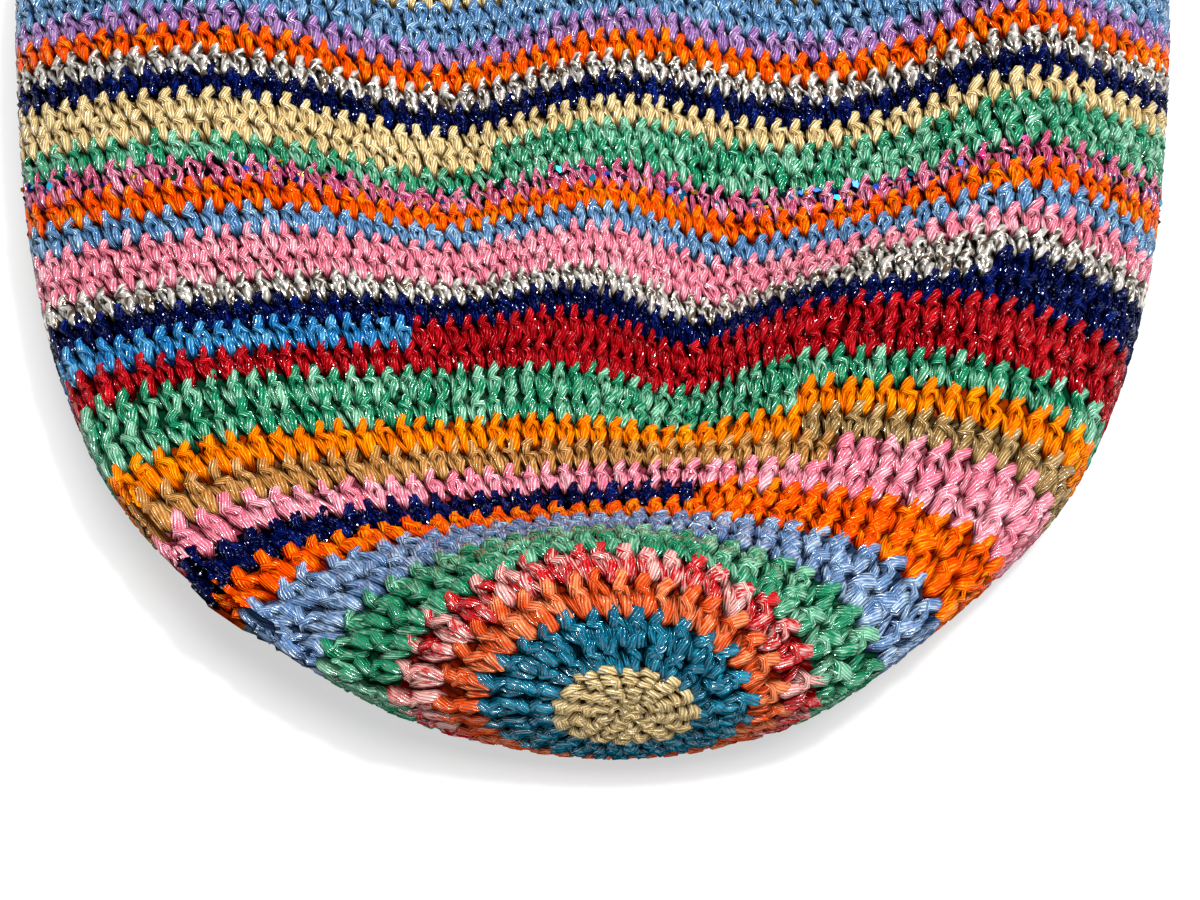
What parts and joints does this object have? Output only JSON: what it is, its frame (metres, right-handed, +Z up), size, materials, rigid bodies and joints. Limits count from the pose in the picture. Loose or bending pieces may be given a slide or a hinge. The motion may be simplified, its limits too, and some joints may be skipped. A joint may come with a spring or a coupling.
{
  "type": "tote bag",
  "caption": "Round-bottomed crocheted tote bag in many-coloured yarn stripes, lying slack on its back with its mouth open and its soft tube handles laid out.",
  "frame": {"origin": "on the flat underside, midway between the two sides and midway between the base and the rim", "axes": "+Z up from the surface the bag lies on, +Y from the base towards the open mouth, +X to the right seen from the base"},
  "size_m": [0.313, 0.4534, 0.0654],
  "materials": {
    "striped_yarn": "crocheted stripes of glossy yarn",
    "handle_yarn": "crocheted glossy yarn"
  },
  "bodies": {
    "root": {"bag_body": "striped_yarn", "front_handle": "handle_yarn", "back_handle": "handle_yarn"}
  },
  "joints": []
}
